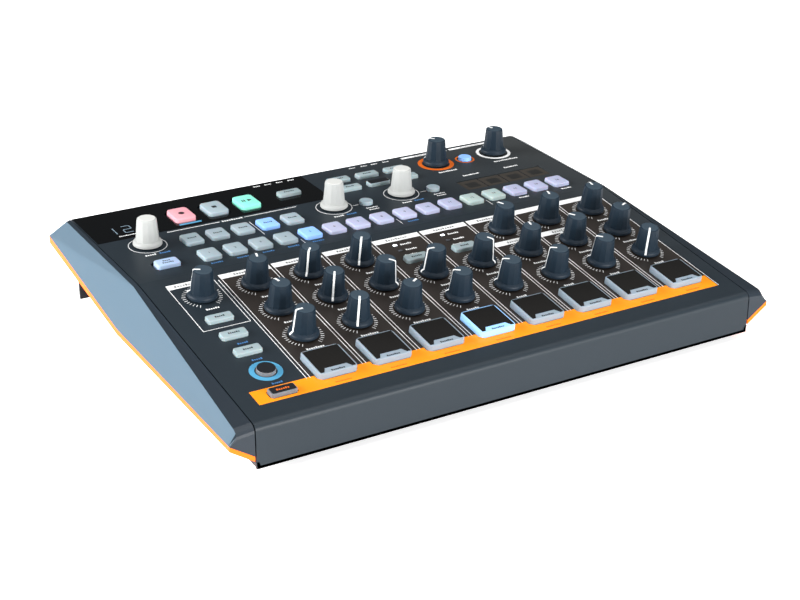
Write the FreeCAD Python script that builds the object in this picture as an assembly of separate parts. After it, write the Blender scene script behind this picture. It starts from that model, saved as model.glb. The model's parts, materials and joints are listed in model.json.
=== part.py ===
import FreeCAD, Part
import math
import os

V = FreeCAD.Vector

# Case, in millimetres. X runs right, Y runs back and Z runs up from the feet's lower faces.
case_width = 316.0
case_depth = 224.0
foot_height = 4.0
cheek_width = 12.9
seam_width = case_width - 2 * cheek_width
front_height = 21.9
front_tilt = 9.22
rear_tilt = 2.58
bend_share = 0.58125
bend_from_front = case_depth * bend_share
sheet = 1.5
near = 0.01
fold_radius = 3.6
fold_steps = 4
seam_gap = 0.3

# Side cheeks, the contrast strip under them and the pan's flared sides
cheek_lip = 2.2
cheek_front_lip = 8.8
flank_front_height = 14.9
flank_bend_height = 21.2
flank_rear_height = 40.4
underside_fall = 8.2
strip_thickness = 2.5
strip_inset = 0.8
pan_side_inset = 3.6
pan_flare = 1.5
rear_recess = 3.0
wall_gap = 0.3

# Boards and what stands on them
board_thickness = 1.6
board_drop = 9.0
board_margin = 4.0
io_board_height = 8.0
io_board_depth = 44.0
standoff_width = 5.0
standoff_edge = 4.0
pot_size = 9.8
pot_top = 3.0
shaft_gap = 0.3
switch_width = 6.0
switch_depth = 3.0
sensor_margin = 2.0
stop_gap = 0.3

# Panel size that the controls' places are drawn for; across() and back() stretch them with the case
layout_width = 290.2
layout_depth = 224.0

# Rotary controls
knob_gap = 0.8
skirt_radius = 8.8
skirt_rim_radius = 8.2
skirt_rim_height = 1.9
skirt_crown_height = 0.7
skirt_sides = 14
grip_radius = 6.2
grip_top_radius = 4.7
crown_margin = 0.4
grip_sides = 12
shaft_sides = 4
shaft_stock_radius = 3.06
shaft_hole_sides = 6
knob_height = 15.7
shaft_radius = 3.0
shaft_clearance = 0.6
tempo_place = (-121.8, 172.7)
swing_place = (-9.6, 172.7)
chance_place = (34.4, 172.7)
drive_place = (77.4, 204.0)
volume_place = (118.8, 204.0)

# Columns and rows of voice knobs, on the sloping front part of the panel
column_pitch = 30.1
column_count = 8
row_front = 57.2
row_pitch = 25.2

# Pads, one to a column
pad_width = 21.4
pad_top_width = 20.8
pad_rise = 3.0
pad_y = 30.5
pad_shift = 0.8
pad_corner = 2.4
pad_skirt = 4.0
pad_travel = 0.8
pad_rim = 0.9
pad_cap_thickness = 1.4
pad_cap_proud = 0.2
pad_tab_depth = 3.0
pad_tab_width = 15.0
pad_tab_top_width = 11.6

# Push buttons
button_gap = 0.3
button_rise = 2.4
button_skirt = 4.0
button_travel = 1.0
button_corner = 1.8
button_taper = 0.25
step_width = 10.6
step_depth = 12.6
step_pitch = 14.87
step_count = 16
step_first_x = -98.8
step_y = 145.3
mode_pitch = 15.0
mode_count = 5
mode_y = 167.2
transport_width = 13.8
transport_depth = 18.4
transport_y = 200.4
transport_corner = 2.6
slim_width = 14.2
slim_depth = 6.4
slim_corner = 1.4
tap_depth = 9.8
round_button_radius = 4.1
shift_button_radius = 5.0
left_slim_shift = 1.2
left_slim_ys = (85.4, 69.8, 54.6, 18.9)
select_y = 98.6
song_xs = (11.5, 30.5, 49.5)
song_ys = (205.7, 192.2)
save_place = (-23.0, 201.6)
tap_place = (-122.9, 145.8)
round_places = ((9.4, 169.8), (54.0, 169.8), (97.0, 202.4))
shift_place = (-120.9, 36.9)
record_x = -90.1
stop_x = -70.3
play_x = -50.3
round_button_sides = 12

# Display window, touch strip and indicator lamps
window_edge = 0.7
window_right = -3.75
window_front = 185.5
window_thickness = 1.0
window_gap = 0.1
display_width = 26.0
display_depth = 17.0
display_x = -120.0
display_y = 199.5
strip_width = 58.9
strip_depth = 14.4
strip_x = 101.2
strip_y = 166.2
strip_sink = 0.6
strip_zones = 4
lamp_width = 2.6
lamp_depth = 1.8
lamp_rise = 0.25
lamp_shift = 4.4
lamp_ys = (114.6, 108.8)

# Rear sockets and the power button
socket_height = 20.0
jack_bore = 3.2
jack_body = 16.0
jack_length = 24.0
jack_pitch = 27.0
jack_count = 4
jack_first_x = -122.0
clock_bore = 1.8
clock_body = 9.0
clock_length = 13.0
clock_xs = (1.0, 15.0)
din_bore = 7.6
din_body = 20.0
din_length = 13.0
din_floor = 3.0
din_xs = (36.0, 61.0)
usb_width = 8.6
usb_height = 7.9
usb_body = 12.0
usb_length = 16.0
usb_x = 83.0
dc_bore = 2.9
dc_body = 9.4
dc_length = 13.0
dc_x = 103.0
collar_wall = 1.6
collar_sides = 12
collar_gap = 0.1
socket_floor = 1.0
power_size = 7.0
power_x = 124.0
power_travel = 2.0
power_length = 9.0

# Feet and screws
foot_radius = 7.0
foot_draft = 1.0
foot_sides = 16
foot_inset_x = 24.0
foot_inset_y = 20.0
screw_head_radius = 2.8
screw_shank_radius = 1.4
screw_head_height = 1.6
screw_length = 5.0
screw_clearance = 0.2
screw_sides = 6
screw_inset_x = 10.0
screw_rows = (12.0, 112.0, 205.0)


def surface_height(y):
    """Height of the panel's upper face at a distance from the front face."""
    front = foot_height + front_height
    if y <= bend_from_front:
        return front + y * math.tan(math.radians(front_tilt))
    bend = front + bend_from_front * math.tan(math.radians(front_tilt))
    return bend + (y - bend_from_front) * math.tan(math.radians(rear_tilt))


def tilt_at(y):
    return front_tilt if y <= bend_from_front else rear_tilt


def depth_at(y):
    """Distance from the front face, turned into the model's own Y."""
    return y - case_depth / 2


def seat(shape, x, y):
    """Moves a shape drawn on a level panel at the origin to its place on the tilted one."""
    turn = FreeCAD.Rotation(V(1, 0, 0), tilt_at(y))
    shape.Placement = FreeCAD.Placement(V(x, depth_at(y), surface_height(y)), turn)
    return shape


def box(x0, x1, y0, y1, z0, z1):
    return Part.makeBox(x1 - x0, y1 - y0, z1 - z0, V(x0, y0, z0))


def outline(points):
    """Closed wire through 3-D points."""
    return Part.makePolygon(points + [points[0]])


def ring(sides, radius, z):
    """Regular polygon about the Z axis with a flat towards +Y."""
    half = math.pi / sides
    corners = [math.pi / 2 + half + 2 * half * i for i in range(sides)]
    return outline([V(radius * math.cos(a), radius * math.sin(a), z) for a in corners])


def clipped(width, depth, corner, z):
    """Rectangle with cut corners, centred on the Z axis."""
    x, y, c = width / 2, depth / 2, corner
    return outline([V(*p, z) for p in ((c - x, -y), (x - c, -y), (x, c - y), (x, y - c),
                                       (x - c, y), (c - x, y), (-x, y - c), (-x, c - y))])


def side_faces(low, high):
    """Flat faces between two runs of corners; a twisted one is folded along its diagonal."""
    faces = []
    for i in range(len(low)):
        a, b, c, d = low[i - 1], low[i], high[i], high[i - 1]
        normal = (b - a).cross(c - a)
        if abs(normal.dot(d - a)) < near * normal.Length:
            faces.append(Part.Face(outline([a, b, c, d])))
        else:
            faces += [Part.Face(outline([a, b, c])), Part.Face(outline([a, c, d]))]
    return faces


def tower(*wires):
    """Solid through wires with like corner counts, with flat sides between them."""
    rows = [[v.Point for v in wire.OrderedVertexes] for wire in wires]
    faces = [Part.Face(wires[0]), Part.Face(wires[-1])]
    for low, high in zip(rows, rows[1:]):
        faces += side_faces(low, high)
    shell = Part.Shell(faces)
    shell.sewShape()
    solid = Part.Solid(shell)
    if solid.Volume < 0:
        solid.reverse()
    return solid


def prism(wire, height):
    """Solid with upright sides on a level wire."""
    return Part.Face(wire).extrude(V(0, 0, height))


def across(x):
    """X on the real panel for an X of the drawn layout."""
    return x * seam_width / layout_width


def back(y):
    """Distance from the front face for one of the drawn layout."""
    return y * case_depth / layout_depth


def on_panel(places):
    return [(across(x), back(y)) for x, y in places]


def column_x(column):
    """Column 0 is the narrow one on the left, and columns 1 to 8 are the voices."""
    return across((column - 4) * column_pitch)


def row_y(row):
    """Row 1 is the furthest back of the three."""
    return back(row_front + (3 - row) * row_pitch)


voice_knobs = [(f"knob_{c}_{name}", column_x(c), row_y(r))
               for c in range(1, column_count + 1)
               for r, name in ((1, "top"), (2, "middle"), (3, "lower"))
               if not (r == 1 and c in (4, 5))]
single_knobs = {"tempo_encoder": tempo_place, "swing_encoder": swing_place, "chance_encoder": chance_place,
                "drive_knob": drive_place, "volume_knob": volume_place}
knobs = voice_knobs + [("metronome_knob", column_x(0), row_y(1))]
knobs += [(name, *on_panel([place])[0]) for name, place in single_knobs.items()]

slim_places = [(column_x(0) - left_slim_shift, back(y)) for y in left_slim_ys]
slim_places += [(column_x(c) - pad_shift, back(select_y)) for c in (4, 5)]
slim_places += on_panel([(x, y) for y in song_ys for x in song_xs] + [save_place])
tap_places = on_panel([tap_place])
small_round_places = on_panel(round_places)
large_round_places = on_panel([shift_place])
step_places = on_panel([(step_first_x + step_pitch * i, step_y) for i in range(step_count)])
mode_places = on_panel([(step_first_x + mode_pitch * i, mode_y) for i in range(mode_count)])
transport_places = {"record_button": record_x, "stop_button": stop_x, "play_button": play_x}
pad_places = [(column_x(c) - pad_shift, back(pad_y)) for c in range(1, column_count + 1)]
lamp_places = [(column_x(c) - lamp_shift, back(y)) for c in (4, 5) for y in lamp_ys]
display_place = on_panel([(display_x, display_y)])[0]
strip_place = on_panel([(strip_x, strip_y)])[0]


def button_cap(width, depth, corner=button_corner, extra=0.0):
    """Moulded cap with a slight taper, or with extra the straight hole that it moves in."""
    if extra:
        hole = clipped(width + 2 * extra, depth + 2 * extra, corner, -button_skirt)
        return prism(hole, button_skirt + button_rise)
    return tower(clipped(width, depth, corner, -button_skirt),
                 clipped(width - 2 * button_taper, depth - 2 * button_taper, corner, button_rise))


def round_cap(radius, extra=0.0):
    if extra:
        hole = ring(round_button_sides, radius + extra, -button_skirt)
        return prism(hole, button_skirt + button_rise)
    return tower(ring(round_button_sides, radius, -button_skirt),
                 ring(round_button_sides, radius - button_taper, button_rise))


def all_caps(extra=0.0):
    """Every push button's caps by node, each at its place; extra widens them into holes."""
    step = lambda: button_cap(step_width, step_depth, extra=extra)
    slim = lambda: button_cap(slim_width, slim_depth, slim_corner, extra)
    caps = {"step_buttons": [seat(step(), *p) for p in step_places],
            "mode_buttons": [seat(step(), *p) for p in mode_places]}
    for name, x in transport_places.items():
        cap = button_cap(transport_width, transport_depth, transport_corner, extra)
        caps[name] = [seat(cap, across(x), back(transport_y))]
    caps["function_buttons"] = [seat(slim(), *p) for p in slim_places]
    caps["function_buttons"] += [seat(button_cap(slim_width, tap_depth, extra=extra), *p) for p in tap_places]
    caps["round_buttons"] = [seat(round_cap(round_button_radius, extra), *p) for p in small_round_places]
    caps["round_buttons"] += [seat(round_cap(shift_button_radius, extra), *p) for p in large_round_places]
    return caps


def pad_cap_outline(inset, z):
    """Rubber top seen from above: a square with a trapezium left out for the front tab."""
    h = pad_top_width / 2 - pad_rim - inset
    b, t = pad_tab_width / 2 + inset, pad_tab_top_width / 2 + inset
    d = pad_tab_depth + inset
    return outline([V(*p, z) for p in ((-h, -h), (-b, -h), (-t, d - h), (t, d - h),
                                       (b, -h), (h, -h), (h, h), (-h, h))])


def pad(extra=0.0):
    """Translucent frame with its rubber top let in; extra gives the hole it moves in."""
    w, t = pad_width + 2 * extra, pad_top_width
    if extra:
        return prism(clipped(w, w, pad_corner, -pad_skirt), pad_skirt + pad_rise)
    frame = tower(clipped(w, w, pad_corner, -pad_skirt), clipped(t, t, pad_corner, pad_rise))
    floor = pad_rise - pad_cap_thickness + pad_cap_proud
    lift = V(0, 0, pad_cap_thickness)
    cap = Part.Face(pad_cap_outline(0.0, floor)).extrude(lift)
    return Part.makeCompound([frame.cut(cap), cap])


def knob():
    """Round skirt, many-sided tapering grip and a square shaft with its corners turned round."""
    base = knob_gap
    rim = base + skirt_rim_height
    crown = rim + skirt_crown_height
    skirt = tower(ring(skirt_sides, skirt_radius, base), ring(skirt_sides, skirt_rim_radius, rim),
                  ring(skirt_sides, grip_radius + crown_margin, crown))
    grip = tower(ring(grip_sides, grip_radius, crown), ring(grip_sides, grip_top_radius, knob_height))
    low, length = shaft_gap - pot_top, base + pot_top - shaft_gap
    stock = prism(ring(shaft_sides, shaft_stock_radius, low), length)
    shaft = stock.common(Part.makeCylinder(shaft_radius, length, V(0, 0, low)))
    return skirt.fuse([grip, shaft])


def side_profile(inset, x):
    """Panel section from the front face's foot to the rear edge, set in by the sheet."""
    turn = math.radians(front_tilt + 90) / 2
    front = surface_height(0) - inset / math.tan(turn)
    bend_turn = math.radians(front_tilt - rear_tilt) / 2
    middle = math.radians(front_tilt + rear_tilt) / 2
    reach = inset / math.cos(bend_turn)
    rear = surface_height(case_depth) - inset / math.cos(math.radians(rear_tilt))
    return [V(x, depth_at(inset), foot_height), V(x, depth_at(inset), front),
            V(x, depth_at(bend_from_front) + reach * math.sin(middle),
              surface_height(bend_from_front) - reach * math.cos(middle)),
            V(x, depth_at(case_depth), rear)]


def edges_along(shape, corner):
    """Edges that run in X through one corner of a profile."""
    def through(v):
        return abs(v.Z - corner.z) < near and abs(v.Y - corner.y) < near
    return [e for e in shape.Edges if all(through(v) for v in e.Vertexes)]


def folded_sheet():
    """Plate bent along its front edge with a rounded fold, and slightly at the rear slope."""
    half = seam_width / 2 - seam_gap
    outer, inner = side_profile(0.0, -half), side_profile(sheet, -half)
    plate = Part.Face(outline(outer + inner[::-1])).extrude(V(2 * half, 0, 0))
    plate = plate.makeFillet(fold_radius, edges_along(plate, outer[1]))
    return plate.makeFillet(fold_radius - sheet, edges_along(plate, inner[1]))


def window_span(gap, z0, z1):
    """Block over the glossy window's place, level at the origin and then set on the panel."""
    front = back(window_front)
    half = (case_depth - front) / 2 - gap
    left, right = window_edge - seam_width / 2, across(window_right)
    block = box(left + gap, right - gap, -half, half, z0, z1)
    return seat(block, 0, (front + case_depth) / 2)


def top_panel():
    """Folded steel sheet with its openings and the shallow bed of the display window."""
    tools = [c for caps in all_caps(button_gap).values() for c in caps]
    tools += [seat(pad(button_gap), *p) for p in pad_places]
    for name, x, y in knobs:
        hole = prism(ring(shaft_hole_sides, shaft_radius + shaft_clearance, -2 * sheet), 4 * sheet)
        tools.append(seat(hole, x, y))
    for p in lamp_places:
        tools.append(seat(box(-lamp_width / 2, lamp_width / 2, -lamp_depth / 2, lamp_depth / 2,
                              -2 * sheet, sheet), *p))
    display = box(-display_width / 2, display_width / 2, -display_depth / 2, display_depth / 2,
                  -2 * sheet, sheet)
    tools.append(seat(display, *display_place))
    strip = box(-strip_width / 2, strip_width / 2, -strip_depth / 2, strip_depth / 2, -2 * sheet, sheet)
    tools.append(seat(strip, *strip_place))
    tools.append(window_span(0.0, -window_thickness, sheet))
    return folded_sheet().cut(tools)


def display_window():
    """Flush black acrylic plate with clearance for the transport and save buttons."""
    caps = all_caps(button_gap)
    tools = caps["record_button"] + caps["stop_button"] + caps["play_button"] + caps["function_buttons"]
    return window_span(window_gap, -window_thickness, 0.0).cut(tools)


cheek_reach = case_width / 2 - seam_width / 2 - seam_gap


def stations():
    """Y and flank height where the side's shape changes: front, bend and rear."""
    return ((0.0, flank_front_height), (bend_from_front, flank_bend_height), (case_depth, flank_rear_height))


def flank_section(y, flank, depth_below, side):
    """Outer edge and seam point of the cheek's underside at Y, lowered."""
    seam = seam_width / 2 + seam_gap
    z = foot_height + flank - depth_below
    return [V(side * case_width / 2, depth_at(y), z), V(side * seam, depth_at(y), z - underside_fall)]


def cheek_section(y, flank, lip, side, drop):
    """Four-cornered slice of a cheek, its top lowered where the front edge is rounded."""
    outer, inner = flank_section(y, flank, 0.0, side)
    seam, top = seam_width / 2 + seam_gap, surface_height(y) - drop
    return outline([inner, V(side * seam, depth_at(y), top),
                    V(side * (seam + lip), depth_at(y), top - strip_inset), outer])


def cheek(side):
    """Faceted end cap: a narrow lip level with the panel, one broad flank and a rounded front."""
    front, bend, rear = stations()
    slope = (bend[1] - front[1]) / bend_from_front
    wires = []
    for step in range(fold_steps + 1):
        turn = math.pi / 2 * step / fold_steps
        y = fold_radius * (1 - math.cos(turn))
        drop = fold_radius * (1 - math.sin(turn))
        wires.append(cheek_section(y, front[1] + slope * y, cheek_front_lip, side, drop))
    wires += [cheek_section(*place, cheek_lip, side, 0.0) for place in (bend, rear)]
    return tower(*wires)


def side_strip(side):
    """Coloured strip that shows as a thin line all along the widest edge."""
    wires = []
    for y, flank in stations():
        outer, inner = flank_section(y, flank, 0.0, side)
        low_outer, low_inner = flank_section(y, flank, strip_thickness, side)
        low_outer += (low_inner - low_outer) * (strip_inset / cheek_reach)
        wires.append(outline([inner, outer, low_outer, low_inner]))
    return tower(*wires)


def bottom_pan():
    """Steel base plate with flared sides that run up under the coloured strips."""
    seam = seam_width / 2 + seam_gap
    half = seam_width / 2 + pan_flare
    rear = depth_at(case_depth - rear_recess)
    pan = box(-half, half, depth_at(sheet + seam_gap), rear, foot_height, foot_height + sheet)
    for side in (-1, 1):
        wires = []
        for y, flank in stations():
            outer, inner = flank_section(y, flank, strip_thickness, side)
            shoulder = outer + (inner - outer) * (pan_side_inset / cheek_reach)
            wires.append(outline([inner, shoulder, V(side * half, depth_at(y), foot_height),
                                  V(side * seam, depth_at(y), foot_height)]))
        pan = pan.fuse(tower(*wires))
    for x, y in screw_places():
        hole = prism(ring(screw_sides, screw_shank_radius + screw_clearance, foot_height - sheet), 3 * sheet)
        pan = pan.cut(hole.translated(V(x, y, 0)))
    return pan


def screw_places():
    reach = seam_width / 2 - screw_inset_x
    return [(side * reach, depth_at(y)) for side in (-1, 1) for y in map(back, screw_rows)]


def screws():
    made = []
    for x, y in screw_places():
        head = prism(ring(screw_sides, screw_head_radius, foot_height - screw_head_height), screw_head_height)
        shank = prism(ring(screw_sides, screw_shank_radius, foot_height - screw_head_height), screw_length)
        made.append(head.fuse(shank).translated(V(x, y, 0)))
    return made


def feet():
    """Rubber feet, a little wider where they meet the pan."""
    made = []
    for sx in (-1, 1):
        for y in (foot_inset_y, case_depth - foot_inset_y):
            place = V(sx * (seam_width / 2 - foot_inset_x), depth_at(y), 0)
            foot = tower(ring(foot_sides, foot_radius - foot_draft, 0),
                         ring(foot_sides, foot_radius, foot_height))
            made.append(foot.translated(place))
    return made


def tilted_board(y0, y1):
    middle, half = (y0 + y1) / 2, (y1 - y0) / 2
    reach = seam_width / 2 - board_margin
    return seat(box(-reach, reach, -half, half, -board_drop - board_thickness, -board_drop), 0, middle)


def board_spans():
    """Front and rear boards: how far from the front face each one starts and ends."""
    return ((2 * board_margin, bend_from_front - board_margin),
            (bend_from_front + board_margin, case_depth - 2 * board_margin))


def io_board():
    reach = seam_width / 2 - 2 * board_margin
    rear = depth_at(case_depth - rear_recess - sheet)
    return box(-reach, reach, rear - io_board_depth, rear, io_board_height, io_board_height + board_thickness)


def standoffs():
    """Posts between the panel and its boards, and under the socket board."""
    half, made = standoff_width / 2, []
    reach = seam_width / 2 - board_margin - standoff_edge
    for y0, y1 in board_spans():
        for x in (-reach, reach):
            for y in (y0 + standoff_edge, y1 - standoff_edge):
                made.append(seat(box(-half, half, -half, half, -board_drop, -sheet), x, y))
    board = io_board().BoundBox
    for x in (board.XMin + standoff_edge, board.XMax - standoff_edge):
        for y in (board.YMin + standoff_edge, board.YMax - standoff_edge):
            made.append(box(x - half, x + half, y - half, y + half, foot_height + sheet, io_board_height))
    return made


def pots():
    """Square bodies of the potentiometers and encoders, one under each knob."""
    half = pot_size / 2
    return [seat(box(-half, half, -half, half, -board_drop, -pot_top), x, y) for name, x, y in knobs]


def switches():
    """Push switches under the caps and force sensors under the pads."""
    w, d = switch_width / 2, switch_depth / 2
    top = -button_skirt - button_travel - stop_gap
    places = step_places + mode_places + slim_places + tap_places + small_round_places + large_round_places
    places += on_panel([(x, transport_y) for x in transport_places.values()])
    made = [seat(box(-w, w, -d, d, -board_drop, top), *p) for p in places]
    wide, rest = pad_width / 2 - sensor_margin, -pad_skirt - pad_travel - stop_gap
    made += [seat(box(-wide, wide, -wide, wide, -board_drop, rest), *p) for p in pad_places]
    return made


def lamps_and_display():
    """Display module behind the window and the small lamps beside the select buttons."""
    w, d = display_width / 2 - window_gap, display_depth / 2 - window_gap
    made = [seat(box(-w, w, -d, d, -board_drop, -window_thickness), *display_place)]
    for p in lamp_places:
        lamp = box(-lamp_width / 2, lamp_width / 2, -lamp_depth / 2, lamp_depth / 2, -board_drop, lamp_rise)
        made.append(seat(lamp, *p))
    return made


def touch_strip():
    """Recessed strip with a shallow groove between its zones."""
    plate = box(-strip_width / 2 + window_gap, strip_width / 2 - window_gap,
                -strip_depth / 2 + window_gap, strip_depth / 2 - window_gap, -board_drop, -strip_sink)
    zone = strip_width / strip_zones
    for i in range(1, strip_zones):
        x = -strip_width / 2 + zone * i
        plate = plate.cut(box(x - strip_sink / 2, x + strip_sink / 2, -strip_depth, strip_depth,
                              -2 * strip_sink, 0))
    return seat(plate, *strip_place)


jack_xs = [across(jack_first_x + jack_pitch * i) for i in range(jack_count)]
bored_sockets = [(x, jack_bore, jack_body, jack_length, socket_floor) for x in jack_xs]
bored_sockets += [(across(x), clock_bore, clock_body, clock_length, socket_floor) for x in clock_xs]
bored_sockets += [(across(x), din_bore, din_body, din_length, din_floor) for x in din_xs]
bored_sockets.append((across(dc_x), dc_bore, dc_body, dc_length, socket_floor))


def socket_face():
    """Y of the rear panel's outer face."""
    return depth_at(case_depth - rear_recess)


def collar(x, radius, y0, y1):
    """Many-sided bushing that lies along Y at the sockets' height."""
    rod = prism(ring(collar_sides, radius, 0), y1 - y0)
    rod.Placement = FreeCAD.Placement(V(x, y0, socket_height), FreeCAD.Rotation(V(1, 0, 0), -90))
    return rod


def round_socket(x, bore, body, length, floor):
    """Square moulded body on the board with a collar through the rear panel."""
    z, face = socket_height, socket_face()
    low = io_board_height + board_thickness
    block = box(x - body / 2, x + body / 2, face - sheet - length, face - sheet, low, z + body / 2)
    nose = collar(x, bore + collar_wall, face - sheet, face + rear_recess / 2)
    start = V(x, face - sheet - length + floor, z)
    hole = Part.makeCylinder(bore, length + 2 * rear_recess, start, V(0, 1, 0))
    return block.fuse(nose).cut(hole)


def usb_socket():
    """Square data socket with a flat nose that fills its hole in the rear panel."""
    x, z, face = across(usb_x), socket_height, socket_face()
    low = io_board_height + board_thickness
    wide, tall, half = usb_width / 2, usb_height / 2, usb_body / 2
    block = box(x - half, x + half, face - usb_length, face - sheet, low, z + half)
    nose = box(x - half, x + half, face - sheet, face, z - half, z + half)
    floor = face - usb_length + collar_wall
    return block.fuse(nose).cut(box(x - wide, x + wide, floor, face + sheet, z - tall, z + tall))


def rear_panel():
    """Back wall, set in under the panel's rear edge, with a hole for each socket."""
    face, reach = socket_face(), seam_width / 2 - seam_gap
    top = surface_height(case_depth - rear_recess - sheet) - sheet - wall_gap
    wall = box(-reach, reach, face - sheet, face, foot_height + sheet, top)
    for x, bore, *rest in bored_sockets:
        wall = wall.cut(collar(x, bore + collar_wall + collar_gap, face - 2 * sheet, face + sheet))
    square = ((across(usb_x), usb_body / 2 + collar_gap), (across(power_x), power_size / 2 + button_gap))
    for x, half in square:
        low, high = socket_height - half, socket_height + half
        wall = wall.cut(box(x - half, x + half, face - 2 * sheet, face + sheet, low, high))
    return wall


def power_button():
    x, half = across(power_x), power_size / 2
    tip = socket_face() + rear_recess
    return box(x - half, x + half, tip - power_length, tip, socket_height - half, socket_height + half)


def write(name, solids):
    shape = solids if isinstance(solids, Part.Shape) else Part.makeCompound(solids)
    shape.exportStep(f"parts/{name}.step")


os.makedirs("parts", exist_ok=True)
write("top_panel", top_panel())
write("display_window", display_window())
write("left_cheek", cheek(-1))
write("right_cheek", cheek(1))
write("side_strips", [side_strip(-1), side_strip(1)])
write("bottom_pan", bottom_pan())
write("rear_panel", rear_panel())
write("rubber_feet", feet())
write("case_screws", screws())
write("control_boards", [tilted_board(*span) for span in board_spans()] + [io_board()])
write("board_standoffs", standoffs())
write("rotary_bodies", pots())
write("switches_and_sensors", switches())
write("touch_strip", touch_strip())
write("display_and_lamps", lamps_and_display())
write("rear_sockets", [round_socket(*kind) for kind in bored_sockets] + [usb_socket()])
write("power_button", power_button())
for name, caps in all_caps().items():
    write(name, caps)
for number, place in enumerate(pad_places, 1):
    write(f"pad_{number}", seat(pad(), *place))
for name, x, y in knobs:
    write(name, seat(knob(), x, y))
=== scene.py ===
import json
import math

import bmesh
import bpy
from mathutils import Matrix, Vector


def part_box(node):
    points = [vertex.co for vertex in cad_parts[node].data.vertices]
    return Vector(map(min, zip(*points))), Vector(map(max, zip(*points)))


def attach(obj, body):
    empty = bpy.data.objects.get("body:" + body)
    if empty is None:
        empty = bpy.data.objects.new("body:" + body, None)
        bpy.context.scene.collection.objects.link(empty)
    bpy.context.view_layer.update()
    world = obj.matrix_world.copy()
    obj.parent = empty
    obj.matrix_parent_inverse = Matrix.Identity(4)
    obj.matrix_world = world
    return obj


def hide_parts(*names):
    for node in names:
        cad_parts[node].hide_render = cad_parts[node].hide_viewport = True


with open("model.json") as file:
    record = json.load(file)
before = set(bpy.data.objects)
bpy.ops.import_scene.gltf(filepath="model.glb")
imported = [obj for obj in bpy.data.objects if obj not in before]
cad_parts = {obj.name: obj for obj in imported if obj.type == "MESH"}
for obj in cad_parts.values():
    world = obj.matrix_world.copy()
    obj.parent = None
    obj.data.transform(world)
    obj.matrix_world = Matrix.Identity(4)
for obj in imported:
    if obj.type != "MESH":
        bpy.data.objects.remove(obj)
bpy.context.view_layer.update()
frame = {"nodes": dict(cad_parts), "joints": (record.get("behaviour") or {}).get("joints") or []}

# Top panel: one steel sheet, bent down over a rounded fold at the front and slightly at two thirds
# of its depth, sprayed a fine satin slate. Its colour is painted lighter towards the rear right, a painted
# sheen for the light that falls there.
# The panel is coloured a warmer graphite over the voice columns, with an orange band in front of it that
# the pads cut into.
mm = 0.001
hinges = {joint["name"]: joint for joint in frame["joints"]}
front_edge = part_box("top_panel")[0][1]
slopes = [(Vector(hinges[name]["pos_m"]), Vector(hinges[name]["axis"]))
          for name in ("knob_1_lower_turn", "tempo_encoder_turn")]
field_span = (-105.3, 135.5)
field_depth = (24.0, 122.8)
band_span = (-136.0, 134.8)
band_depth = (13.6, 24.4)


def heights(y):
    """Height in metres of both slopes at y, in millimetres from the front face."""
    return [point.z - normal.y * (front_edge + y * mm - point.y) / normal.z for point, normal in slopes]


def seat(x, y, turn=0.0):
    """Takes a millimetre drawing on a level sheet to x, y on the panel, turned anticlockwise."""
    level = heights(y)
    normal = slopes[level.index(min(level))][1]
    tilt = math.atan2(-normal.y, normal.z)
    place = Matrix.Translation((x * mm, front_edge + y * mm, min(level)))
    return place @ Matrix.Rotation(tilt, 4, "X") @ Matrix.Rotation(turn, 4, "Z") @ Matrix.Scale(mm, 4)


def paint(red, green, blue):
    """Colour as it is read off a screen, made linear."""
    return (*[(c / 255 / 12.92) if c < 11 else ((c / 255 + 0.055) / 1.055) ** 2.4
              for c in (red, green, blue)], 1.0)


class Signal:
    """A value or colour inside a material. Sums and comparisons on it add the nodes that do them."""

    def __init__(self, tree, socket=None):
        self.tree = tree
        self.socket = socket

    def add(self, kind, settings=None, sockets=None, out=0):
        """A new node: first its settings, then the values or links of its sockets."""
        node = self.tree.nodes.new(kind)
        for name, value in (settings or {}).items():
            setattr(node, name, value)
        for name, value in (sockets or {}).items():
            if isinstance(value, Signal):
                self.tree.links.new(value.socket, node.inputs[name])
            else:
                node.inputs[name].default_value = value
        return Signal(self.tree, node.outputs[out])

    def sum(self, operation, first, second):
        return self.add("ShaderNodeMath", {"operation": operation}, {0: first, 1: second})

    def __add__(self, other):
        return self.sum("ADD", self, other)

    def __sub__(self, other):
        return self.sum("SUBTRACT", self, other)

    def __rsub__(self, other):
        return self.sum("SUBTRACT", other, self)

    def __mul__(self, other):
        return self.sum("MULTIPLY", self, other)

    def __gt__(self, other):
        return self.sum("GREATER_THAN", self, other)

    def __lt__(self, other):
        return self.sum("LESS_THAN", self, other)

    def __and__(self, other):
        return self.sum("MINIMUM", self, other)

    __radd__ = __add__
    __rmul__ = __mul__
    __rand__ = __and__

    def between(self, low, high):
        return (self > low) & (self < high)

    def blend(self, first, second):
        """Colour that goes from first to second as this signal goes from 0 to 1."""
        return self.add("ShaderNodeMix", {"data_type": "RGBA"}, {0: self, 6: first, 7: second}, out=2)


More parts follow.
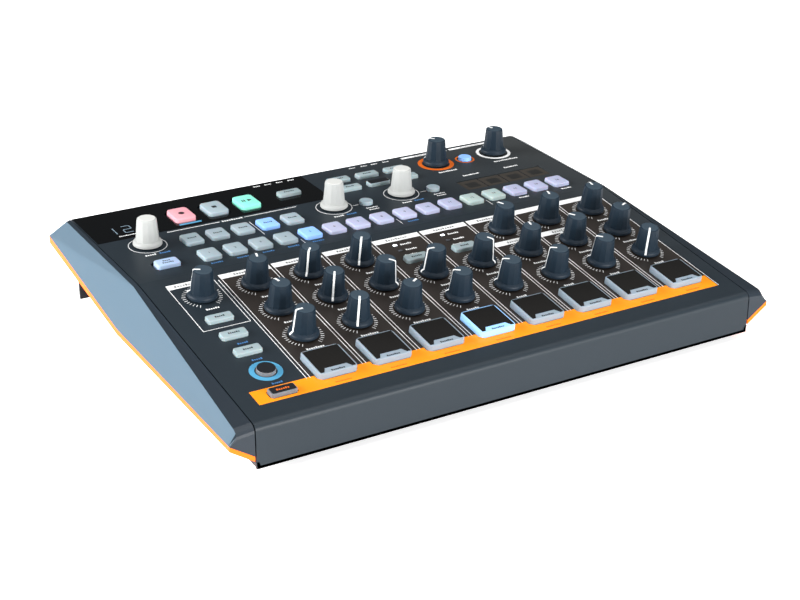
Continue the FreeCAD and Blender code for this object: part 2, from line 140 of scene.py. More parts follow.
def finish(name, colour, rough=0.5, grain=0.25, height=0.012, drift=0.07, shine=0.2, facing=None, **fixed):
    """A sprayed or moulded surface. grain and height are the size and depth of its texture in
    millimetres, drift is how much its tone wanders and shine how strongly it reflects. colour may be a
    function of the place, and so may facing, which turns the surface's normal."""
    material = bpy.data.materials.new(name)
    material.use_nodes = True
    shader = material.node_tree.nodes["Principled BSDF"]
    place = Signal(material.node_tree).add("ShaderNodeTexCoord", out="Object")
    fine, wide = [place.add("ShaderNodeTexNoise", {}, {"Vector": place, "Scale": scale, "Detail": detail})
                  for scale, detail in ((1 / (grain * mm), 2.0), (24.0, 5.0))]
    base = colour(place) if callable(colour) else colour
    value = 1 + (wide + fine - 1.0) * drift
    toned = place.add("ShaderNodeHueSaturation", {}, {"Color": base, "Value": value})
    relief = {"Strength": 0.6, "Distance": height * mm, "Height": fine}
    if facing:
        relief["Normal"] = facing(place)
    bump = place.add("ShaderNodeBump", {}, relief)
    wires = {"Base Color": toned, "Roughness": (wide - 0.5) * 0.12 + rough, "Normal": bump}
    for socket, signal in wires.items():
        material.node_tree.links.new(signal.socket, shader.inputs[socket])
    shader.inputs["Specular IOR Level"].default_value = shine
    for socket, number in fixed.items():
        shader.inputs[socket.replace("_", " ")].default_value = number
    return material


def panel_colour(place):
    x = place.add("ShaderNodeSeparateXYZ", {}, {0: place}, out=0) * (1 / mm)
    y = (place.add("ShaderNodeSeparateXYZ", {}, {0: place}, out=1) - front_edge) * (1 / mm)
    field = x.between(*field_span) & y.between(*field_depth)
    band = x.between(*band_span) & y.between(*band_depth)
    # Painted sheen: slate and field are painted lighter towards the rear right, for the light that falls
    # there.
    painted_sheen = place.add("ShaderNodeMapRange", {}, {0: x + y * 0.8 - 96.0, 1: 60.0, 2: 220.0})
    slate = painted_sheen.blend(paint(30, 39, 46), paint(54, 57, 58))
    ground = painted_sheen.blend(paint(42, 37, 34), paint(58, 53, 48))
    return band.blend(field.blend(slate, ground), paint(255, 146, 10))


def coat(node, material):
    """Gives every surface of a node of the assembly one finish."""
    for slot in frame["nodes"][node].material_slots:
        slot.material = material


coat("top_panel", finish("slate_panel", panel_colour, rough=0.46, grain=0.18, height=0.006, shine=0.26))

# Printing on the panel: screen-printed inks a few hundredths of a millimetre thick. White lines part
# the voice columns, white bars head them, and every potentiometer has a fan of ticks with a gap
# in front. Short dashes stand where small words would be.
line_width = 0.3
ink_height = 0.05
ink_sunk = 0.2
white, blue, black, orange, cyan = range(5)
inks = [finish("white_ink", paint(244, 245, 245), rough=0.55, height=0.003),
        finish("blue_ink", paint(70, 122, 178), rough=0.55, height=0.003),
        finish("black_ink", paint(24, 26, 30), rough=0.5, height=0.003),
        finish("orange_ink", paint(214, 100, 24), rough=0.5, height=0.003),
        finish("cyan_ink", paint(78, 152, 190), rough=0.5, height=0.003)]
column = {c: hinges[f"knob_{c}_lower_turn"]["pos_m"][0] / mm for c in range(1, 9)}
column_pitch = column[2] - column[1]
left_column = column[1] - column_pitch
pad_column = {c: x - 0.8 for c, x in column.items()}


def rounded(width, depth, corner, steps=5):
    """Rectangle with rounded corners, anticlockwise seen from above."""
    points = []
    for quarter, (sx, sy) in enumerate(((1, 1), (-1, 1), (-1, -1), (1, -1))):
        for step in range(steps + 1):
            a = math.radians(90 * (quarter + step / steps))
            points.append((sx * (width / 2 - corner) + corner * math.cos(a),
                           sy * (depth / 2 - corner) + corner * math.sin(a)))
    return points


class Moulding:
    """Gathers millimetre drawings, each set in its place, and makes one mesh piece of them."""

    def __init__(self):
        self.points = []
        self.faces = []
        self.paints = []

    def loft(self, place, loops, ink=0, joined=False):
        """Closed skin through loops of like length; joined ones run round into the first again."""
        start, count = len(self.points), len(loops[0])
        self.points += [place @ Vector(point) for loop in loops for point in loop]
        made = []
        for row in range(len(loops) if joined else len(loops) - 1):
            low, high = start + row * count, start + (row + 1) % len(loops) * count
            for i in range(count):
                j = (i + 1) % count
                made.append((low + i, low + j, high + j, high + i))
        if not joined:
            last = start + (len(loops) - 1) * count
            made += [tuple(range(start, start + count)), tuple(range(last, last + count))]
        self.faces += made
        self.paints += [ink] * len(made)

    def plate(self, place, outline, low, high, ink=0):
        self.loft(place, [[(x, y, z) for x, y in outline] for z in (low, high)], ink)

    def bar(self, place, width, depth, ink=0, x=0.0, y=0.0):
        """Printed rectangle with its middle at x, y of the drawing."""
        corners = [(x + sx * width / 2, y + sy * depth / 2)
                   for sx, sy in ((-1, -1), (1, -1), (1, 1), (-1, 1))]
        self.plate(place, corners, -ink_sunk, ink_height, ink)

    def ring(self, place, inner, outer, low=-ink_sunk, high=ink_height, ink=0, steps=72):
        section = ((inner, low), (outer, low), (outer, high), (inner, high))
        loops = []
        for step in range(steps):
            c, s = math.cos(2 * math.pi * step / steps), math.sin(2 * math.pi * step / steps)
            loops.append([(r * c, r * s, z) for r, z in section])
        self.loft(place, loops, ink, joined=True)

    def words(self, place, length, height=1.3, ink=0, x=0.0, y=0.0):
        """Dashes as long as a short word, with x, y in its middle."""
        letter, gap = height * 0.62, height * 0.26
        count = max(1, round((length + gap) / (letter + gap)))
        for i in range(count):
            tall = height if i % 4 == 0 else height * 0.72
            at = x + (i - (count - 1) / 2) * (letter + gap)
            self.bar(place, letter, tall, ink, at, y + (tall - height) / 2)

    def piece(self, name, body, finishes, replaced=(), slot=None, crease=32):
        mesh = bpy.data.meshes.new(name)
        mesh.from_pydata(self.points, [], self.faces)
        for material in finishes:
            mesh.materials.append(material)
        mesh.polygons.foreach_set("material_index", self.paints)
        skin = bmesh.new()
        skin.from_mesh(mesh)
        bmesh.ops.recalc_face_normals(skin, faces=skin.faces[:])
        skin.to_mesh(mesh)
        skin.free()
        mesh.shade_smooth()
        mesh.set_sharp_from_angle(angle=math.radians(crease))
        thing = bpy.data.objects.new(name, mesh)
        bpy.context.scene.collection.objects.link(thing)
        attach(thing, body)
        if replaced:
            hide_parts(*replaced)


printing = Moulding()


def stroke(x0, y0, x1, y1, width=line_width, ink=white):
    """Straight printed line between two places on one slope."""
    middle = seat((x0 + x1) / 2, (y0 + y1) / 2)
    dx, dy = x1 - x0, (y1 - y0) / middle.col[2].normalized().z
    printing.bar(middle @ Matrix.Rotation(math.atan2(dy, dx), 4, "Z"), math.hypot(dx, dy), width, ink)


separator_gap = 0.95
header_y = 120.9
header_depth = 4.2
header_gap = 1.4
lower_header_y = 94.4
for k in range(8):
    middle = column[1] + (k - 0.5) * column_pitch
    for x in (middle - separator_gap, middle + separator_gap):
        stroke(x, field_depth[0], x, header_y - header_depth / 2)
stroke(field_span[1], band_depth[0], field_span[1], header_y + header_depth / 2)
for c in range(1, 6):
    printing.bar(seat(column[c], header_y), column_pitch - header_gap, header_depth, white)
    printing.words(seat(column[c], header_y), 13.0, 1.7, black)
right_header = (column[6] + column[8]) / 2
printing.bar(seat(right_header, header_y), 3 * column_pitch - header_gap, header_depth, white)
printing.words(seat(column[6], header_y), 16.0, 1.7, black)
for c in (6, 7):
    printing.bar(seat(column[c], lower_header_y), column_pitch - header_gap, header_depth, white)
    printing.words(seat(column[c], lower_header_y), 11.0, 1.7, black)

# Tick fans and captions under the potentiometers and encoders, printed with the same inks. The two
# knobs at the back right stand in solid rings instead.
tick_inner = 8.4
tick_outer = 10.2
tick_width = 0.28
long_tick = 0.35
tick_count = 29
tick_sweep = 300.0
caption_drop = 12.0
encoder_ring = 10.0
encoder_caption_y = 160.3
pots = [name[:-5] for name in hinges if name.startswith("knob_") or name == "metronome_knob_turn"]
encoders = ["tempo_encoder", "swing_encoder", "chance_encoder"]
rear_knobs = ["drive_knob", "volume_knob"]


def stand(name):
    """Where a rotary control stands on the panel, in millimetres from the middle and the front face."""
    x, y, z = hinges[f"{name}_turn"]["pos_m"]
    return x / mm, (y - front_edge) / mm


for number, name in enumerate(pots):
    x, y = stand(name)
    for tick in range(tick_count):
        turn = math.radians(tick_sweep * (tick / (tick_count - 1) - 0.5))
        end = tick_outer + (long_tick if tick % 7 == 0 else 0.0)
        printing.bar(seat(x, y, turn), tick_width, end - tick_inner, white, y=(tick_inner + end) / 2)
    printing.words(seat(x, y - caption_drop), 6.0 + number % 3 * 1.6, 1.4)
for name in encoders:
    x, y = stand(name)
    printing.ring(seat(x, y), encoder_ring, encoder_ring + line_width)
    printing.words(seat(x - 3.6, encoder_caption_y), 6.4, 1.4, white)
    printing.words(seat(x + 4.4, encoder_caption_y), 6.4, 1.4, blue)
drive_x, drive_y = stand("drive_knob")
volume_x, volume_y = stand("volume_knob")
printing.ring(seat(drive_x, drive_y), 8.4, 10.9, ink=orange)
printing.ring(seat(volume_x, volume_y), 8.8, 10.6, ink=white)
for x, length in ((drive_x, 12.0), (volume_x, 17.0)):
    printing.words(seat(x, 190.5), length, 1.6)
for x, length in ((86.5, 11.0), (115.0, 10.0)):
    printing.words(seat(x, 179.6), length, 1.4)

# Captions of the push buttons and the remaining lines of the rear slope.
step_half = 5.3
step_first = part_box("step_buttons")[0][0] / mm + step_half
step_pitch = (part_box("step_buttons")[1][0] / mm - step_half - step_first) / 15
step_y = 145.3
step_caption_y = 136.0
mode_y = 167.2
left_slim = left_column - 1.2
encoder_rounds = ((9.4, 169.8), (54.0, 169.8))
ringed_round = (97.0, 202.4)
large_round = (left_column - 0.5, 36.9)
printing.ring(seat(*ringed_round), 4.9, 5.9, ink=orange)
printing.ring(seat(*large_round), 5.5, 8.1, ink=cyan)
for y in (62.4, 47.2, 26.4):
    printing.words(seat(left_slim + 1.2, y), 5.2, 1.3, blue)
box_sides = (left_column - 13.1, left_column + 12.1)
box_front = 78.2
for x in box_sides:
    stroke(x, box_front, x, 121.0)
stroke(box_sides[0], box_front, box_sides[1], box_front)
box_middle = sum(box_sides) / 2
printing.bar(seat(box_middle, header_y), box_sides[1] - box_sides[0], header_depth, white)
printing.words(seat(box_middle, header_y), 17.0, 1.7, black)
for steps_named, ink in (((0, 1, 2, 3, 4, 8), blue), ((13, 15), white)):
    for i in steps_named:
        printing.words(seat(step_first + i * step_pitch, step_caption_y), 6.5, 1.3, ink)
for i in (3.5, 7.5, 11.5):
    x = step_first + i * step_pitch
    stroke(x, 135.0, x, 142.0)
mode_divider = step_first + 38.0765
stroke(mode_divider, 157.0, mode_divider, 176.0)
for x, y in encoder_rounds:
    printing.words(seat(x, 163.0), 7.5, 1.2)
    printing.words(seat(x, 160.4), 6.0, 1.2)
    stroke(x - 8.5, y, x - 4.9, y)
underline_y = 183.4
for start, end in ((-106.0, -75.0), (-60.0, -28.0)):
    stroke(start, underline_y, end, underline_y, 0.5)
printing.words(seat(-67.5, underline_y), 12.0, 1.6)
rear_line_y = 220.4
for x, width in ((79.0, 32.0), (112.0, 30.0)):
    printing.bar(seat(x, rear_line_y), width, 2.1, white)
    printing.words(seat(x, rear_line_y), 13.0, 1.1, black)
for x in (-34.0, -27.0, -19.5, -12.0, 29.0, 37.0, 44.0, 52.0):
    printing.words(seat(x, rear_line_y + 0.2), 3.4, 1.2)
lamp_rows = (114.6, 108.8)
for c in (4, 5):
    for y in lamp_rows:
        printing.words(seat(column[c] + 2.2, y), 6.5, 1.3)
    printing.words(seat(pad_column[c], 103.8), 7.0, 1.2)
for c in range(1, 9):
    printing.words(seat(pad_column[c], 15.9), 8.5, 0.9, orange)
printing.bar(seat(-89.5, 189.6), 13.0, 1.7, cyan)
printing.words(seat(-126.0, 190.0), 9.0, 1.1, white)
printing.piece("panel_printing", "case", inks)

# Display window: a flush plate of black acrylic, polished on its upper face. Seven-segment digits
# shine through its left end, behind a few small printed dashes and a light-blue bar.
digit_pitch = 9.5
digit_width = 4.8
digit_height = 8.6
bar_width = 0.55
first_digit = (-132.6, 197.7)
segments = {"0": "abcdef", "1": "bc", "2": "abged"}
coat("display_window", finish("gloss_acrylic", paint(3, 5, 7), rough=0.09, grain=2.0, height=0.001,
                              shine=0.14))
digit_light = finish("digit_light", paint(110, 126, 138), rough=0.4, Emission_Color=paint(130, 155, 170),
                     Emission_Strength=0.3)
digits = Moulding()
half_w, half_h = digit_width / 2, digit_height / 2
strokes = {"a": (0, half_h, 0), "g": (0, 0, 0), "d": (0, -half_h, 0),
           "b": (half_w, half_h / 2, 1), "c": (half_w, -half_h / 2, 1),
           "e": (-half_w, -half_h / 2, 1), "f": (-half_w, half_h / 2, 1)}
for place, figure in enumerate("120"):
    spot = seat(first_digit[0] + place * digit_pitch, first_digit[1])
    for key in segments[figure]:
        x, y, upright = strokes[key]
        size = (bar_width, half_h - 0.5) if upright else (digit_width - 0.5, bar_width)
        digits.bar(spot, *size, 0, x, y)
digits.piece("display_digits", "case", [digit_light], slot="display_black")

# Side cheeks: moulded end caps with a narrow lip level with the panel and one broad, even flank. Lip
# and nose are slate like the panel; the flanks are painted a lighter satin grey-blue, which is painted
# light for the light that falls on them. An orange strip is let in under each, along the machine's widest
# edge, and grows thicker to the rear; it glows faintly, a painted glow.
flank_lean = (0.93, -0.04, 0.36)
underside_fall = 8.2
strip_seam = 145.6
bend_y = 130.2


def flank_side(place):
    """Sideways part of the surface's direction, and where it is a flank's."""
    direction = place.add("ShaderNodeNewGeometry", out="True Normal")
    sideways = place.add("ShaderNodeSeparateXYZ", {}, {0: direction}, out=0)
    upward = place.add("ShaderNodeSeparateXYZ", {}, {0: direction}, out=2)
    forward = place.add("ShaderNodeSeparateXYZ", {}, {0: direction}, out=1)
    flank = (sideways.sum("ABSOLUTE", sideways, 0.0) > 0.42) & (upward > 0.05) & (forward > -0.4)
    return direction, sideways, flank


# Painted light: faces turned to the sides get a lighter grey-blue than the slate, for the light on the
# flanks.
def cheek_colour_with_painted_light(place):
    return flank_side(place)[2].blend(paint(34, 42, 50), paint(66, 91, 108))


def cheek_facing(place):
    """One even direction for each flank."""
    direction, sideways, flank = flank_side(place)
    x = sideways.sum("SIGN", sideways, 0.0) * flank_lean[0]
    even = place.add("ShaderNodeCombineXYZ", {}, {0: x, 1: flank_lean[1], 2: flank_lean[2]})
    return place.add("ShaderNodeMix", {"data_type": "VECTOR"}, {0: flank, 4: direction, 5: even}, out=1)


cheek = finish("cheek_plastic", cheek_colour_with_painted_light, rough=0.36, grain=0.3, height=0.006, shine=0.3,
               facing=cheek_facing)
coat("left_cheek", cheek)
coat("right_cheek", cheek)
# Painted glow: the orange strip gives off faint light though it holds no lamp.
strip_finish_with_painted_glow = finish("strip_plastic", paint(250, 110, 8), rough=0.45, Emission_Color=paint(255, 96, 0),
                      Emission_Strength=0.3)
strips = Moulding()
reach = -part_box("left_cheek")[0][0] / mm
for side in (-1, 1):
    loops = []
    for y, edge, thick in ((0.0, 18.9, 2.5), (bend_y, 25.2, 3.0), (224.0, 44.4, 4.2)):
        inner = edge - underside_fall
        corners = ((strip_seam, inner), (reach, edge),
                   (reach - 0.1, edge - thick), (strip_seam, inner - thick))
        loops.append([(side * x, front_edge / mm + y, z) for x, z in corners])
    strips.loft(Matrix.Scale(mm, 4), loops)
strips.piece("strip_mouldings", "case", [strip_finish_with_painted_glow], ["side_strips"], "strip_orange", crease=20)

# Lower case: a steel tray whose sides lean in under the cheeks and a rear wall, both powder-coated
# nearly black, on four rubber feet, held by black screws from below.
powder = finish("black_powder_coat", paint(44, 48, 53), rough=0.55, grain=0.35, height=0.03)
pan_low, pan_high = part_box("bottom_pan")
pan_floor = pan_low[2] / mm
pan_wall = 1.5
pan_seam = 145.2
front_reach = 144.4
rear_reach = 138.3
pan = Moulding()
loops = []
for y, rim, reach in ((pan_low[1] / mm, 7.6, front_reach), (front_edge / mm + bend_y, 13.9, rear_reach),
                      (pan_high[1] / mm, 33.0, rear_reach)):
    half = [(reach, pan_floor), (pan_seam, rim), (pan_seam - pan_wall, rim),
            (reach - pan_wall, pan_floor + pan_wall)]
    loops.append([(x, y, z) for x, z in half] + [(-x, y, z) for x, z in reversed(half)])
pan.loft(Matrix.Scale(mm, 4), loops)
pan.piece("pan_tray", "case", [powder], ["bottom_pan"], "pan_paint", crease=20)
coat("rear_panel", powder)
coat("rubber_feet", finish("foot_rubber", paint(28, 28, 29), rough=0.85, grain=0.6, height=0.05))
coat("case_screws", finish("black_zinc", paint(70, 70, 72), rough=0.35, Metallic=1.0))

# Inside: green circuit boards on metal posts carry square potentiometer bodies, push switches,
# force sensors and the display module.
coat("control_boards", finish("board_laminate", paint(24, 84, 52), rough=0.4))
coat("board_standoffs", finish("plated_posts", paint(190, 190, 186), rough=0.3, Metallic=1.0))
dark_plastic = finish("dark_component_plastic", paint(34, 35, 38), rough=0.45)
coat("rotary_bodies", finish("pot_bodies", paint(90, 92, 96), rough=0.4))
coat("switches_and_sensors", dark_plastic)
coat("display_and_lamps", dark_plastic)

# Knobs: soft-touch plastic in a dark blue-grey. A round skirt carries a tapering grip of twelve
# facets with broken corners and a flat top, painted lighter than the grip's sides as painted light and
# shade for the light from above. A white line is inlaid from the top over the rim, down one facet and
# out across the skirt.
facets = 12
skirt_profile = ((7.55, 0.8), (7.8, 1.05), (7.75, 2.1), (7.45, 2.75), (7.1, 3.05), (6.2, 3.5))
grip_profile = ((6.3, 3.2), (5.75, 9.0), (5.25, 14.7), (5.1, 15.25), (4.7, 15.55))
top_profile = ((4.6, 15.2), (4.5, 15.62), (4.3, 15.7))
facet_half = 13.4
line_half = 0.52
line_skin = 0.09
shaft_profile = ((2.9, -2.6), (2.9, 1.0))
knob_side = finish("knob_soft_touch", paint(23, 36, 47), rough=0.46, grain=0.22, height=0.012, shine=0.16)
# Painted light: the flat top is a lighter copy of the knob's plastic, for the light falling on it from
# above.
knob_top_lit = finish("knob_top_lit", paint(52, 66, 77), rough=0.62, grain=0.18, height=0.02)
knob_skirt = finish("knob_skirt", paint(27, 39, 50), rough=0.5, grain=0.2, height=0.012)
knob_line = finish("knob_line", paint(238, 240, 240), rough=0.45, height=0.003)
# The encoders are one white plastic; their tops are painted lighter than their sides and skirts, as
# painted light on the upward faces and painted shade on the sides.
encoder_side = finish("encoder_white", paint(168, 170, 168), rough=0.34, grain=0.4, height=0.004)
encoder_top_lit = finish("encoder_top_lit", paint(204, 205, 202), rough=0.4, grain=0.4, height=0.004)


def circle(steps):
    return [360 * (step + 0.5) / steps for step in range(steps)]


def turned(profile, angles):
    """Loops about the axis, with a corner at each of the angles."""
    return [[(r * math.cos(math.radians(a)), r * math.sin(math.radians(a)), z) for a in angles]
            for r, z in profile]


def rotary(name, finishes, pointed=True):
    x, y = stand(name)
    rest = hinges[f"{name}_turn"].get("range_deg")
    turn = math.radians(-150 - rest[0]) if pointed else 0.0
    place = seat(x, y, turn)
    knob = Moulding()
    corners = [360 / facets * k + side * facet_half for k in range(facets) for side in (-1, 1)]
    knob.loft(place, turned(shaft_profile, circle(24)), 0)
    knob.loft(place, turned(skirt_profile, circle(64)), 2)
    knob.loft(place, turned(grip_profile, corners), 0)
    knob.loft(place, turned(top_profile, circle(48)), 1)
    if pointed:
        flat = math.cos(math.radians(facet_half))
        path = [(1.2, 15.66), (4.45, 15.66), (5.08 * flat + 0.03, 15.27), (5.75 * flat + 0.03, 9.0),
                (6.27 * flat + 0.03, 3.5), (6.3, 3.46), (7.12, 3.03), (7.47, 2.72), (7.74, 2.1)]
        loops = []
        for r, z in path:
            sunk = (max(r - 2 * line_skin, 1.0), z - 1.5 * line_skin)
            proud = (r + line_skin, z + line_skin / 2)
            loops.append([(-line_half, *sunk), (line_half, *sunk),
                          (line_half, *proud), (-line_half, *proud)])
        knob.loft(place, loops, 3)
    knob.piece(f"{name}_shell", name, finishes, [name],
               "knob_plastic" if pointed else "encoder_white", crease=12)


for name in pots + rear_knobs:
    rotary(name, [knob_side, knob_top_lit, knob_skirt, knob_line])
for name in encoders:
    rotary(name, [encoder_side, encoder_top_lit, encoder_side], pointed=False)

# Pads: a translucent frame, pale or lit blue, moulded round a near-black rubber top that leaves a
# trapezium free at the front for a caption.
pad_width = 21.4
pad_top = 20.8
pad_rise = 3.0
pad_y = 30.5
pad_rim = 0.9
tab_widths = (15.0, 11.6)
tab_depth = 3.0
lit_pad = 4
frame_pale = finish("pad_frame_pale", paint(138, 152, 164), rough=0.35, Subsurface_Weight=0.1,
                    Subsurface_Scale=0.002)
frame_lit = finish("pad_frame_lit", paint(150, 195, 238), rough=0.3, Emission_Color=paint(120, 175, 235),
                   Emission_Strength=0.35)
pad_rubber = finish("pad_rubber", paint(24, 23, 22), rough=0.62, grain=0.35, height=0.03, shine=0.1)


def cap_loops(outline, low, high, taper, edge, steps=4):
    """Loops of a moulded cap: outline(inset) at each height, drawn in over a rounded upper edge."""
    levels = [(0.0, low), (taper, high - edge)]
    for step in range(1, steps + 1):
        a = math.pi / 2 * step / steps
        levels.append((taper + edge * (1 - math.cos(a)), high - edge * (1 - math.sin(a))))
    return [[(x, y, z) for x, y in outline(inset)] for inset, z in levels]


def box_outline(width, depth, corner):
    return lambda inset: rounded(width - 2 * inset, depth - 2 * inset, max(corner - inset, 0.2))


def pad_rubber_outline(inset):
    h, (wide, narrow), rise = pad_top / 2 - pad_rim - inset, tab_widths, tab_depth + inset
    w, n = wide / 2 + inset, narrow / 2 + inset
    return [(-h, -h), (-w, -h), (-n, rise - h), (n, rise - h), (w, -h), (h, -h), (h, h), (-h, h)]


for c in range(1, 9):
    place = seat(pad_column[c], pad_y)
    pad = Moulding()
    pad.loft(place, cap_loops(box_outline(pad_width, pad_width, 2.4), -4.0, pad_rise, 0.3, 0.5), 0)
    pad.loft(place, cap_loops(pad_rubber_outline, 1.8, pad_rise + 0.2, 0.0, 0.25, 3), 1)
    pad.words(place @ Matrix.Translation((0, 1.4 - pad_top / 2, pad_rise)), 7.0, 1.2, 2)
    frame_finish = frame_lit if c == lit_pad else frame_pale
    pad.piece(f"pad_{c}_moulding", f"pad_{c}", [frame_finish, pad_rubber, inks[black]], [f"pad_{c}"],
              "pad_frame")

# Step, mode and transport buttons: translucent silicone caps with rounded edges, each lit from
# below in its own colour. Small dark numerals count the steps; the rest carry signs or dashes.
button_rise = 1.9
button_skirt = 4.0
button_taper = 0.25
button_edge = 0.55
step_size = (10.6, 12.6)


def silicone(name, colour, glow=0.0):
    return finish(name, colour, rough=0.42, grain=0.3, height=0.01, drift=0.05, Subsurface_Weight=0.15,
                  Subsurface_Scale=0.002, Emission_Color=colour, Emission_Strength=glow)


grey, lavender, green, lit, pink, mint, pale, sky, rim_grey = range(9)
caps_colours = [silicone("cap_grey", paint(158, 174, 182)),
                silicone("cap_lavender", paint(176, 180, 208), 0.04),
                silicone("cap_greenish", paint(172, 190, 188), 0.04),
                silicone("cap_lit_blue", paint(140, 184, 246), 0.25),
                silicone("cap_pink", paint(224, 158, 168), 0.12),
                silicone("cap_mint", paint(132, 224, 200), 0.2),
                silicone("cap_pale", paint(150, 166, 170)),
                silicone("cap_sky", paint(164, 186, 216), 0.08),
                silicone("cap_rim", paint(112, 113, 117)),
                inks[black]]
mark = len(caps_colours) - 1
step_inks = [grey] * 4 + [lit] + [lavender] * 6 + [green] * 2 + [lavender] * 3


def cap(moulding, place, size, corner, ink):
    outline = box_outline(*size, corner)
    moulding.loft(place, cap_loops(outline, -button_skirt, button_rise, button_taper, button_edge), ink)


def numeral(moulding, place, text, size, ink):
    """Flat figures cut from the plain built-in typeface."""
    curve = bpy.data.curves.new("figures", "FONT")
    curve.body = text
    curve.size = size
    curve.align_x = "CENTER"
    curve.align_y = "CENTER"
    drawn = bpy.data.objects.new("figures", curve)
    flat = bpy.data.meshes.new_from_object(drawn)
    for polygon in flat.polygons:
        outline = [tuple(flat.vertices[v].co[:2]) for v in polygon.vertices]
        moulding.plate(place, outline, -0.05, 0.03, ink)
    bpy.data.objects.remove(drawn)
    bpy.data.curves.remove(curve)
    bpy.data.meshes.remove(flat)


def cap_top(x, y, dy=0.0):
    return seat(x, y) @ Matrix.Translation((0, dy, button_rise))


steps = Moulding()
for i, ink in enumerate(step_inks):
    x = step_first + i * step_pitch
    cap(steps, seat(x, step_y), step_size, 1.8, ink)
    numeral(steps, cap_top(x, step_y), str(i + 1), 2.5, mark)
steps.piece("step_caps", "step_buttons", caps_colours, ["step_buttons"], "button_white")

modes = Moulding()
for i in range(5):
    x = step_first + i * 15.0
    cap(modes, seat(x, mode_y), step_size, 1.8, lit if i == 3 else grey)
    modes.words(cap_top(x, mode_y), 5.4, 1.2, mark)
modes.piece("mode_caps", "mode_buttons", caps_colours, ["mode_buttons"], "button_white")

transport_size = (12.3, 16.4)
transport_y = 200.4
for name, x, ink, slot in (("record", -90.1, pink, "record_pink"), ("stop", -70.3, grey, "button_white"),
                           ("play", -50.3, mint, "play_mint")):
    key = Moulding()
    cap(key, seat(x, transport_y), transport_size, 2.6, ink)
    top = cap_top(x, transport_y)
    if name == "record":
        key.plate(top, rounded(3.4, 3.4, 1.69), -0.05, 0.04, mark)
    elif name == "stop":
        key.bar(top, 2.6, 2.6, mark)
    else:
        for at in (-2.6, -1.3):
            key.bar(top, 0.7, 2.6, mark, at)
        key.plate(top, [(0.6, -1.5), (3.2, 0.0), (0.6, 1.5)], -0.05, 0.04, mark)
    key.piece(f"{name}_cap", f"{name}_button", caps_colours, [f"{name}_button"], slot)

# Slim function buttons and the larger tap button: the same silicone. One on the orange band and one
# in the rear group have dark tops.
slim_size = (14.2, 6.4)
tap_size = (13.0, 8.8)
slim = Moulding()
dark_tops = ((30.5, 192.2), (left_slim, 18.9))
slim_places = [(left_slim, y) for y in (85.4, 69.8, 54.6)] + [(pad_column[c], 98.6) for c in (4, 5)]
slim_places += [(x, y) for y in (205.7, 192.2) for x in (11.5, 30.5, 49.5)] + [(-23.0, 201.6)]
for number, (x, y) in enumerate(slim_places):
    cap(slim, seat(x, y), slim_size, 1.4, pale)
    if (x, y) == dark_tops[0]:
        slim.plate(cap_top(x, y), rounded(12.6, 4.9, 0.9), -0.1, 0.08, mark)
    else:
        slim.words(cap_top(x, y), 5.2 + number % 2, 1.2, mark)
cap(slim, seat(*dark_tops[1]), slim_size, 1.4, rim_grey)
slim.plate(cap_top(*dark_tops[1]), rounded(12.4, 4.8, 0.9), -0.1, 0.08, mark)
slim.words(cap_top(*dark_tops[1]) @ Matrix.Translation((0, 0, 0.06)), 6.0, 1.3, len(caps_colours))
tap_x, tap_y = -122.6, 145.4
cap(slim, seat(tap_x, tap_y), tap_size, 1.8, sky)
slim.words(cap_top(tap_x, tap_y, 1.2), 4.0, 1.2, mark)
slim.words(cap_top(tap_x, tap_y, -1.2), 6.0, 1.2, mark)
slim.piece("function_caps", "function_buttons", caps_colours + [inks[orange]], ["function_buttons"],
           "button_white")

# Round buttons: two pale ones by the encoders, a lit one in an orange ring, and a larger dark-topped
# one with a pale rim inside the light-blue ring.
rounds = Moulding()


def round_outline(radius):
    return lambda inset: [(p[0], p[1]) for p in turned([(radius - inset, 0)], circle(48))[0]]


round_radius = 4.1
large_radius = 5.0
for spot, radius, ink in ((encoder_rounds[0], round_radius, grey),
                          (encoder_rounds[1], round_radius, grey),
                          (ringed_round, round_radius, lit), (large_round, large_radius, rim_grey)):
    loops = cap_loops(round_outline(radius), -button_skirt, button_rise, button_taper, button_edge)
    rounds.loft(seat(*spot), loops, ink)
rounds.plate(cap_top(*large_round), round_outline(4.5)(0.0), -0.1, 0.08, mark)
rounds.piece("round_caps", "round_buttons", caps_colours, ["round_buttons"], "button_white")

# Touch strip: a matt sensing surface in a shallow recess, in four grey-brown zones parted by grooves,
# each with a darker square.
strip_x, strip_y = 101.2, 166.2
zone_pitch = 58.9 / 4
zone_depth = 13.4
zone_gap = 0.9
coat("touch_strip", finish("strip_surface", paint(46, 47, 50), rough=0.5))
zones = Moulding()
for i in range(4):
    place = seat(strip_x + (i - 1.5) * zone_pitch, strip_y) @ Matrix.Translation((0, 0, -0.6))
    zones.plate(place, rounded(zone_pitch - zone_gap, zone_depth, 0.5), -0.1, 0.08, 0)
    zones.plate(place, rounded(7.6, 6.6, 0.4), 0.0, 0.14, 1)
zone_finishes = [finish("zone_rim", paint(58, 54, 49), rough=0.55),
                 finish("zone_dark", paint(38, 38, 37), rough=0.45)]
zones.piece("touch_zones", "case", zone_finishes, slot="touch_black")

# Lamps: four small lenses between the voice headers and the select buttons, the rear two lit.
lamps = Moulding()
lens_lit = finish("lamp_lit", paint(240, 245, 250), rough=0.3, Emission_Color=paint(240, 246, 255),
                  Emission_Strength=2.2)
lens_dark = finish("lamp_dark", paint(70, 72, 76), rough=0.25)
for c in (4, 5):
    for ink, y in enumerate(lamp_rows):
        outline = box_outline(2.5, 1.7, 0.5)
        lamps.loft(seat(column[c] - 4.4, y), cap_loops(outline, -0.5, 0.5, 0.0, 0.35, 3), ink)
lamps.piece("lamp_lenses", "case", [lens_lit, lens_dark], slot="display_black")

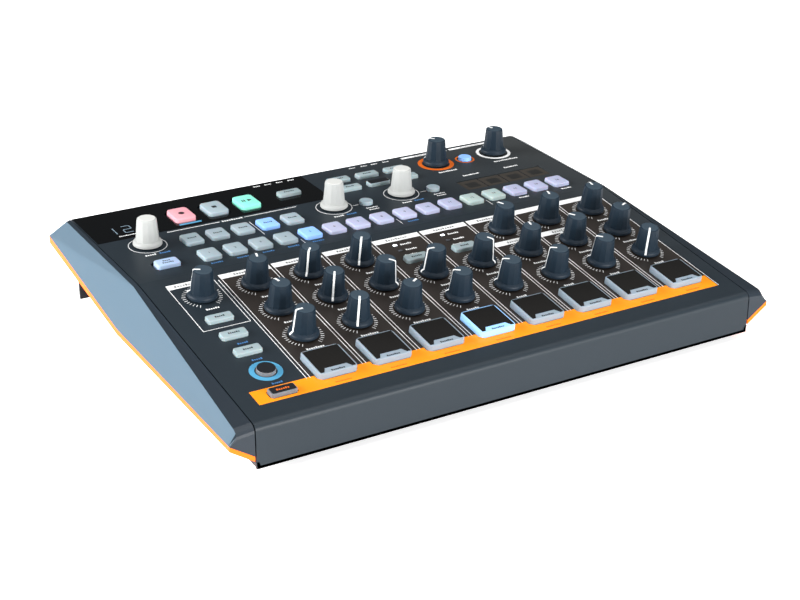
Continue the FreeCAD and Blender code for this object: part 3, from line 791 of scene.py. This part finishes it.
# Rear sockets: black moulded blocks behind the wall. The jacks have hexagonal nuts, the round
# five-pin sockets show their contacts, and the power button is a square latching one.
coat("rear_sockets", dark_plastic)
coat("power_button", knob_side)
metal = finish("nickel", paint(196, 196, 192), rough=0.25, grain=0.5, height=0.002, Metallic=1.0)
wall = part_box("rear_panel")[1][1]
socket_level = 20.0 * mm


def behind(x, out=0.0):
    """Takes a drawing to the rear wall, seen from behind; its z points away from the wall."""
    place = Matrix.Translation((x * mm, wall + out * mm, socket_level))
    return place @ Matrix.Rotation(math.radians(-90), 4, "X") @ Matrix.Scale(mm, 4)


fittings = Moulding()
large_jacks = [(-122.0 + 27.0 * i, 3.2) for i in range(4)]
small_jacks = [(x, 1.8) for x in (1.0, 15.0)]
nut_steps = 48
nut_height = 1.2
nut_eye = 1.7
nut_corner = 3.4
for x, bore in large_jacks + small_jacks:
    eye = bore + nut_eye
    loops = []
    for step in range(nut_steps):
        a = 2 * math.pi * step / nut_steps
        from_flat = (a + math.pi / 6) % (math.pi / 3) - math.pi / 6
        reach = (bore + nut_corner) * math.cos(math.pi / 6) / math.cos(from_flat)
        loops.append([(r * math.cos(a), r * math.sin(a), z)
                      for r, z in ((eye, 0.0), (reach, 0.0), (reach, nut_height), (eye, nut_height))])
    fittings.loft(behind(x), loops, 0, joined=True)
for x in (36.0, 61.0):
    for angle in (-90, -45, 0, 45, 90):
        a = math.radians(angle)
        spot = behind(x) @ Matrix.Translation((5.0 * math.sin(a), -5.0 * math.cos(a), -10.5))
        fittings.plate(spot, rounded(1.5, 1.5, 0.74), 0.0, 6.5, 0)
fittings.plate(behind(103.0), rounded(1.9, 1.9, 0.94), -13.0, -1.0, 0)
fittings.plate(behind(83.0), rounded(5.6, 3.2, 0.3), -14.0, -2.0, 1)
fittings.piece("socket_fittings", "case", [metal, dark_plastic], slot="screw_steel")

# Studio: a plain pale floor that glows faintly, soft light from above, from the left and from the
# front, and the camera at the photo's angle.
floor_reach = 6.0
floor_level = -0.0005
floor_mesh = bpy.data.meshes.new("floor")
floor_corners = [(sx * floor_reach, sy * floor_reach, floor_level)
                 for sx, sy in ((-1, -1), (1, -1), (1, 1), (-1, 1))]
floor_mesh.from_pydata(floor_corners, [], [(0, 1, 2, 3)])
floor_mesh.materials.append(finish("pale_floor", paint(246, 246, 246), rough=0.9, grain=2.0, drift=0.01,
                                   Emission_Color=paint(250, 250, 250), Emission_Strength=0.7))
floor = bpy.data.objects.new("floor", floor_mesh)
bpy.context.scene.collection.objects.link(floor)

world = bpy.data.worlds.new("studio")
world.use_nodes = True
world.node_tree.nodes["Background"].inputs["Color"].default_value = (1.0, 1.0, 1.0, 1.0)
world.node_tree.nodes["Background"].inputs["Strength"].default_value = 0.12
bpy.context.scene.world = world
bpy.context.scene.view_settings.view_transform = "Standard"


def softbox(name, position, size, power, aim=(0.0, 0.0, 0.03)):
    light = bpy.data.lights.new(name, "AREA")
    light.shape = "RECTANGLE"
    light.size, light.size_y = size
    light.energy = power
    lamp = bpy.data.objects.new(name, light)
    lamp.location = position
    lamp.rotation_euler = (Vector(aim) - Vector(position)).to_track_quat("-Z", "Y").to_euler()
    bpy.context.scene.collection.objects.link(lamp)


softbox("overhead", (0.4, -0.4, 2.4), (3.0, 2.6), 56.0)
softbox("left", (-1.6, 0.5, 0.6), (1.2, 0.9), 60.0)
softbox("front", (0.3, -1.9, 0.25), (1.6, 0.4), 54.0)

camera_data = bpy.data.cameras.new("camera")
camera_data.sensor_width = 36.0
camera_data.lens = 73.67
camera = bpy.data.objects.new("camera", camera_data)
looking = Vector((0.47158, 0.78594, -0.39968))
camera.location = (-0.42124, -0.69737, 0.36812)
roll = Matrix.Rotation(math.radians(0.04), 4, "Z")
camera.rotation_euler = (looking.to_track_quat("-Z", "Y").to_matrix().to_4x4() @ roll).to_euler()
bpy.context.scene.collection.objects.link(camera)
bpy.context.scene.camera = camera
